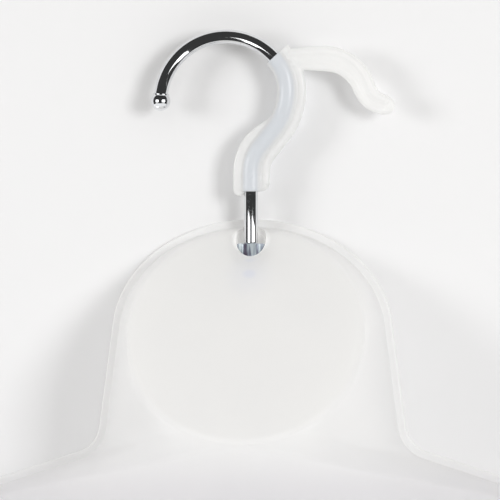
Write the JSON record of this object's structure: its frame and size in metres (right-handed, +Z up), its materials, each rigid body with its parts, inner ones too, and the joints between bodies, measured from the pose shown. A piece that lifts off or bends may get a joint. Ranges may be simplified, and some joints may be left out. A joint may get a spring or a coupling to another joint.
{
  "type": "hanging torso form",
  "caption": "Hollow-back frosted plastic torso form for garment display, hung from a swivelling ball-tipped wire hook with a plastic sleeve and side counter-hook.",
  "frame": {"origin": "the point inside the top of the hook's bend that rests on a garment rail", "axes": "+Z up along the hook's stem and the form's height, -Y towards the front of the chest, +X towards the counter-hook's side"},
  "size_m": [0.4054, 0.096, 0.6747],
  "materials": {
    "frosted_shell": "frosted, translucent",
    "frosted_sleeve": "frosted, translucent, slightly glossy edges",
    "chrome": "polished",
    "zinc_plate": "bright blue-white zinc plate",
    "nylon": "natural nylon"
  },
  "bodies": {
    "form": {"body_shell": "frosted_shell"},
    "hook": {"hook_wire": "chrome", "hook_ball_tip": "chrome", "hook_sleeve": "frosted_sleeve", "top_nut": "zinc_plate", "thrust_washer": "zinc_plate", "lock_nut": "zinc_plate", "lock_nut_collar": "nylon"}
  },
  "joints": [
    {"name": "hook_swivel", "type": "hinge", "parent": "form", "child": "hook", "pos_m": [0.0099, 0, -0.085], "axis": [0, 0, 1], "continuous": true}
  ]
}
